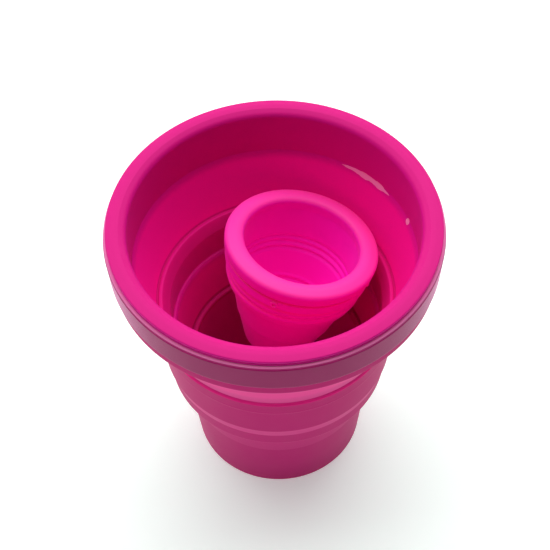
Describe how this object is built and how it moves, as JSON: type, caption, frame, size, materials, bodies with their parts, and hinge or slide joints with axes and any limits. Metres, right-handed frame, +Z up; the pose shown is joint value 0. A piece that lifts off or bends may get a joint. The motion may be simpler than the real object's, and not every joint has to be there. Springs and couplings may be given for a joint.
{
  "type": "folding silicone cup set",
  "caption": "Folding silicone beaker with a frosted band round its mouth and a small folding cup standing in it.",
  "frame": {"origin": "centre of the beaker's foot, on the table", "axes": "+Z up along the beaker's axis, towards the mouth; -Y towards the side seen in front"},
  "size_m": [0.0862, 0.0862, 0.0923],
  "materials": {
    "beaker_silicone": "satin",
    "small_cup_silicone": "satin",
    "frosted_band": "frosted"
  },
  "bodies": {
    "base": {"base_tier": "beaker_silicone", "lower_web": "beaker_silicone"},
    "middle": {"middle_tier": "beaker_silicone", "upper_web": "beaker_silicone"},
    "collar": {"mouth_collar": "beaker_silicone", "rim_band": "frosted_band"},
    "small_rim": {"small_cup_rim": "small_cup_silicone"},
    "small_base": {"small_cup_base": "small_cup_silicone", "pull_stem": "small_cup_silicone", "small_cup_web": "small_cup_silicone"}
  },
  "joints": [
    {"name": "middle_fold", "type": "slide", "parent": "base", "child": "middle", "axis": [0, 0, 1], "range_m": [-0.026, 0], "deforming": ["lower_web"]},
    {"name": "upper_fold", "type": "slide", "parent": "middle", "child": "collar", "axis": [0, 0, 1], "range_m": [-0.028, 0], "deforming": ["upper_web"]},
    {"name": "lift_out", "type": "slide", "parent": "base", "child": "small_rim", "axis": [0, 0, 1], "range_m": [0, 0.1]},
    {"name": "small_fold", "type": "slide", "parent": "small_rim", "child": "small_base", "axis": [0.195, 0.1266, 0.9726], "range_m": [0, 0.022], "deforming": ["small_cup_web"]}
  ]
}
